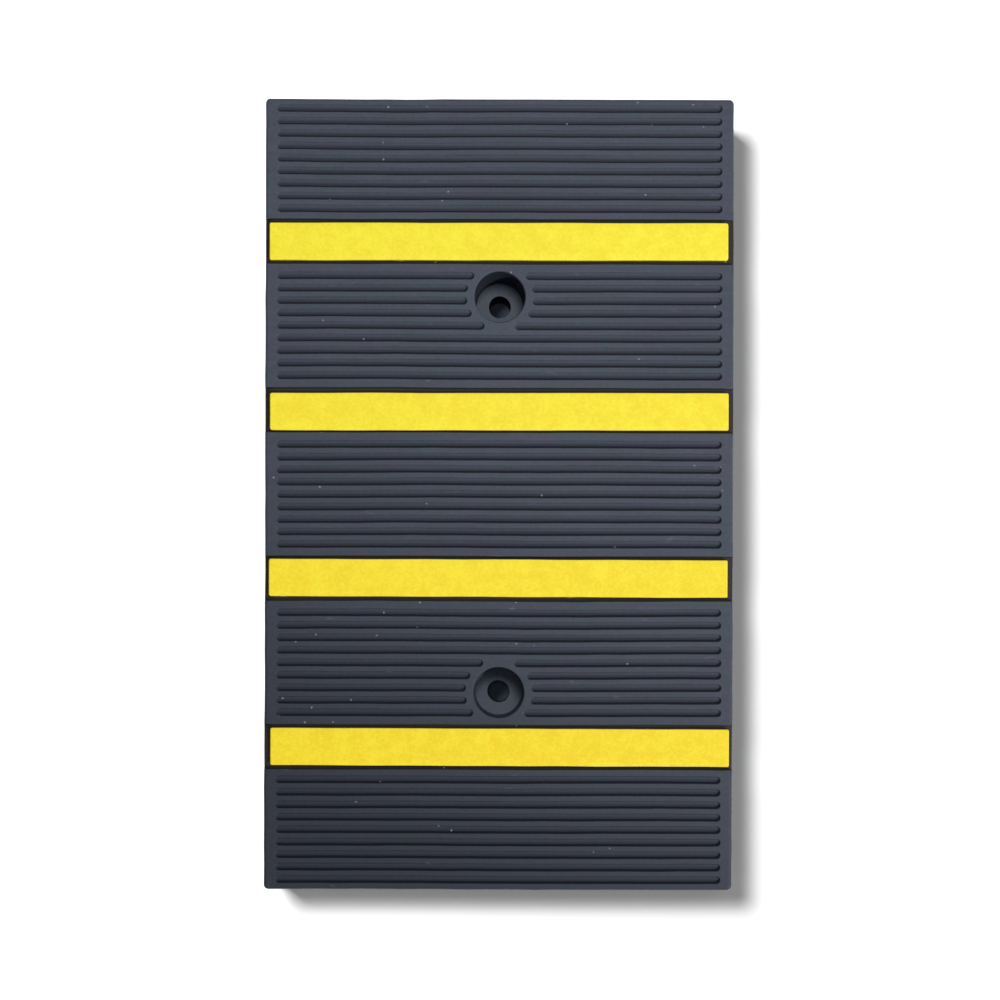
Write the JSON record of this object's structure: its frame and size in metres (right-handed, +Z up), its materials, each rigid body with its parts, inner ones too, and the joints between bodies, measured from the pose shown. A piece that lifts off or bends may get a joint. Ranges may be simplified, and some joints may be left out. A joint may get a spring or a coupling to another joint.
{
  "type": "rubber speed bump",
  "caption": "Flat-topped moulded rubber speed bump unit with a grooved tread, inlaid yellow strips and recessed bolt holes.",
  "frame": {"origin": "on the road surface, under the middle of the slab", "axes": "+X across the bump, the way that traffic crosses it; +Y along the bump, towards the next unit; +Z up"},
  "size_m": [0.3, 0.5, 0.05],
  "materials": {
    "body_rubber": "dark blue-grey moulded rubber, matt to satin, slightly dusty",
    "strip_yellow": "bright yellow, finely grained, satin",
    "glue": "dull amber contact adhesive"
  },
  "bodies": {
    "root": {"rubber_body": "body_rubber", "yellow_strip_1": "strip_yellow", "yellow_strip_2": "strip_yellow", "yellow_strip_3": "strip_yellow", "yellow_strip_4": "strip_yellow", "strip_adhesive_1": "glue", "strip_adhesive_2": "glue", "strip_adhesive_3": "glue", "strip_adhesive_4": "glue"}
  },
  "joints": []
}
